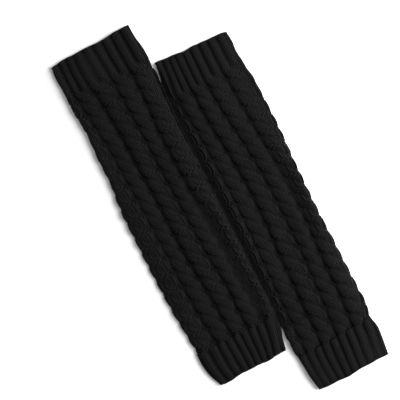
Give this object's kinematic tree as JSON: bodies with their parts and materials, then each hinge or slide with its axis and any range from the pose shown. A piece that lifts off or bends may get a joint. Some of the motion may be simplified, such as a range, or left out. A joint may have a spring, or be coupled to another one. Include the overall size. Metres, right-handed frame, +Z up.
{
  "type": "pair of leg warmers",
  "caption": "Cable-knit leg warmers laid flat side by side: open knitted tubes in two layers, with a ribbed cuff at both ends of each.",
  "frame": {"origin": "on the surface the pair lies on, at the middle of the pair's bounding box", "axes": "+Z up from the surface, +Y along the warmers from the ankle ends to the calf ends, +X across them from the left warmer to the right one"},
  "size_m": [0.1984, 0.4564, 0.0104],
  "materials": {
    "black_yarn": "matte, softly fuzzy spun yarn, near black"
  },
  "bodies": {
    "root": {"left_upper_cuff": "black_yarn", "left_leg": "black_yarn", "left_lower_cuff": "black_yarn", "right_upper_cuff": "black_yarn", "right_leg": "black_yarn", "right_lower_cuff": "black_yarn"}
  },
  "joints": []
}
